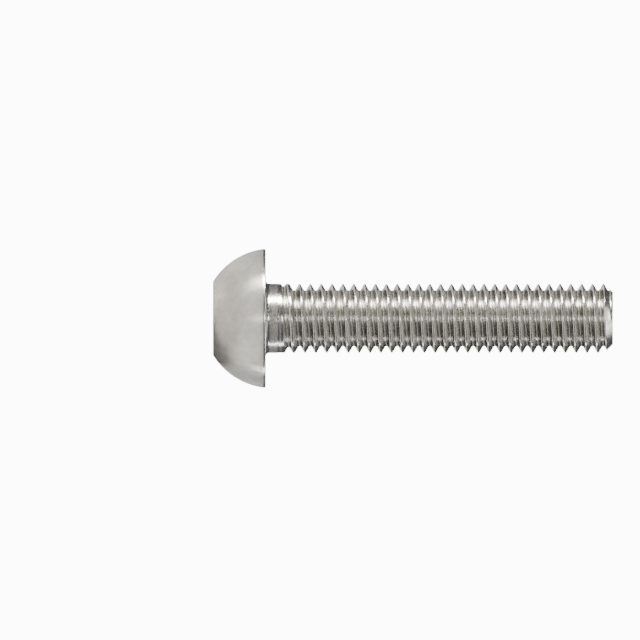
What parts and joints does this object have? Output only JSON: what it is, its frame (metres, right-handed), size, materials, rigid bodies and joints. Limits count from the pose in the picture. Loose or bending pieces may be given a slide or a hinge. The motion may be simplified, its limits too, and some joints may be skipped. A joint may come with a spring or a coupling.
{
  "type": "button head screw",
  "caption": "Button head machine screw with a flat crown, a countersunk hexalobular socket and a right-hand metric thread that ends in a chamfered tip.",
  "frame": {"origin": "on the screw's axis in the plane of the bearing face under the head", "axes": "+Z along the axis from the bearing face to the tip, so the head with its flat crown hangs below z = 0 and the screw stands on its crown; +Y through the tip of one lobe of the socket"},
  "size_m": [0.016, 0.016, 0.0461],
  "materials": {
    "steel": "bright cold-forged and thread-rolled stainless steel, satin"
  },
  "bodies": {
    "root": {"screw": "steel"}
  },
  "joints": []
}
